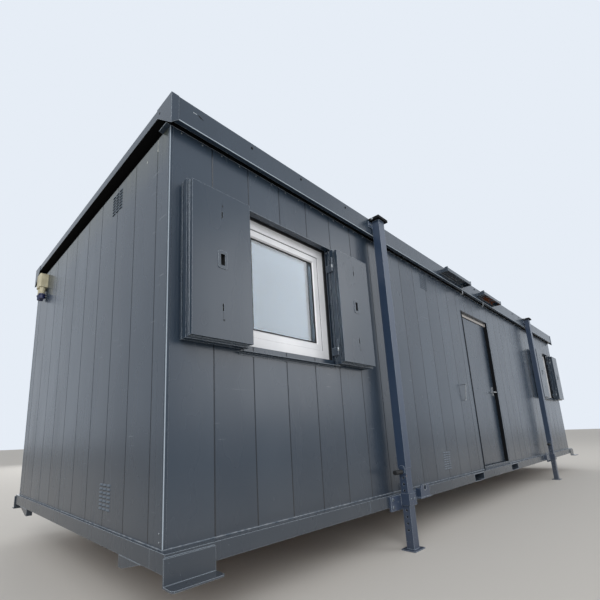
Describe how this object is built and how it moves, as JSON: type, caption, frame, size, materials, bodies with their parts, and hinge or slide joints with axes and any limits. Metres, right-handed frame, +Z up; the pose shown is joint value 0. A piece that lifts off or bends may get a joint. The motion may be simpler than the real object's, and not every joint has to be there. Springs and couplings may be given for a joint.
{
  "type": "portable steel site cabin",
  "caption": "Portable steel site cabin on jack legs, with a door, windows with steel swing shutters, fork pockets and a flat overhanging roof.",
  "frame": {"origin": "on the ground under the middle of the cabin", "axes": "+X along the length, -Y out of the door side, +Z up"},
  "size_m": [9.865, 3.388, 2.954],
  "materials": {
    "wall_paint": "semi-gloss anthracite paint on pressed steel",
    "frame_paint": "semi-gloss anthracite paint on folded steel",
    "leg_paint": "satin blue-grey paint, scuffed",
    "zinc_steel": "dull zinc plate",
    "satin_handle": "satin",
    "white_upvc": "smooth white extruded frame",
    "glass": "clear double glazing",
    "floor_board": "sealed plywood",
    "lining_board": "matt white board",
    "cream_plastic": "weathered cream plastic",
    "blue_plastic": "moulded blue plastic"
  },
  "bodies": {
    "cabin": {"base_rail_front": "frame_paint", "base_rail_left": "frame_paint", "base_rail_rear": "frame_paint", "base_rail_right": "frame_paint", "ceiling_panel": "lining_board", "corner_feet": "frame_paint", "corner_plates": "frame_paint", "door_frame": "frame_paint", "door_threshold": "frame_paint", "end_wall_left": "wall_paint", "end_wall_right": "wall_paint", "floor_deck": "floor_board", "floor_joists": "frame_paint", "fork_pocket_left": "frame_paint", "fork_pocket_right": "frame_paint", "front_wall_left": "wall_paint", "front_wall_over_door": "wall_paint", "front_wall_right": "wall_paint", "grab_handle": "zinc_steel", "inlet_caps": "blue_plastic", "jack_brackets": "frame_paint", "jack_casings": "frame_paint", "jack_legs": "leg_paint", "jack_pins": "zinc_steel", "power_inlet": "cream_plastic", "rear_wall": "wall_paint", "roof_hoods": "frame_paint", "roof_rail_front": "frame_paint", "roof_rail_left": "frame_paint", "roof_rail_rear": "frame_paint", "roof_rail_right": "frame_paint", "roof_sheet": "frame_paint", "shutter_fixings_left": "frame_paint", "shutter_fixings_right": "frame_paint", "skid_brackets": "frame_paint", "tie_lugs": "frame_paint", "window_frames": "white_upvc", "window_glass": "glass", "window_sashes": "white_upvc"},
    "door": {"door_leaf": "frame_paint", "door_handle": "satin_handle"},
    "shutter_left_left": {"shutter_left_left": "frame_paint"},
    "shutter_left_right": {"shutter_left_right": "frame_paint"},
    "shutter_right_left": {"shutter_right_left": "frame_paint"},
    "shutter_right_right": {"shutter_right_right": "frame_paint"}
  },
  "joints": [
    {"name": "door_hinge", "type": "hinge", "parent": "cabin", "child": "door", "pos_m": [-0.442, -1.4853, 1.4], "axis": [0, 0, -1], "range_deg": [0, 100]},
    {"name": "shutter_left_left_hinge", "type": "hinge", "parent": "cabin", "child": "shutter_left_left", "pos_m": [-4.352, -1.585, 1.93], "axis": [0, 0, 1], "range_deg": [0, 180]},
    {"name": "shutter_left_right_hinge", "type": "hinge", "parent": "cabin", "child": "shutter_left_right", "pos_m": [-3.437, -1.585, 1.93], "axis": [0, 0, -1], "range_deg": [0, 180]},
    {"name": "shutter_right_left_hinge", "type": "hinge", "parent": "cabin", "child": "shutter_right_left", "pos_m": [3.437, -1.585, 1.93], "axis": [0, 0, 1], "range_deg": [0, 180]},
    {"name": "shutter_right_right_hinge", "type": "hinge", "parent": "cabin", "child": "shutter_right_right", "pos_m": [4.352, -1.585, 1.93], "axis": [0, 0, -1], "range_deg": [0, 180]}
  ]
}
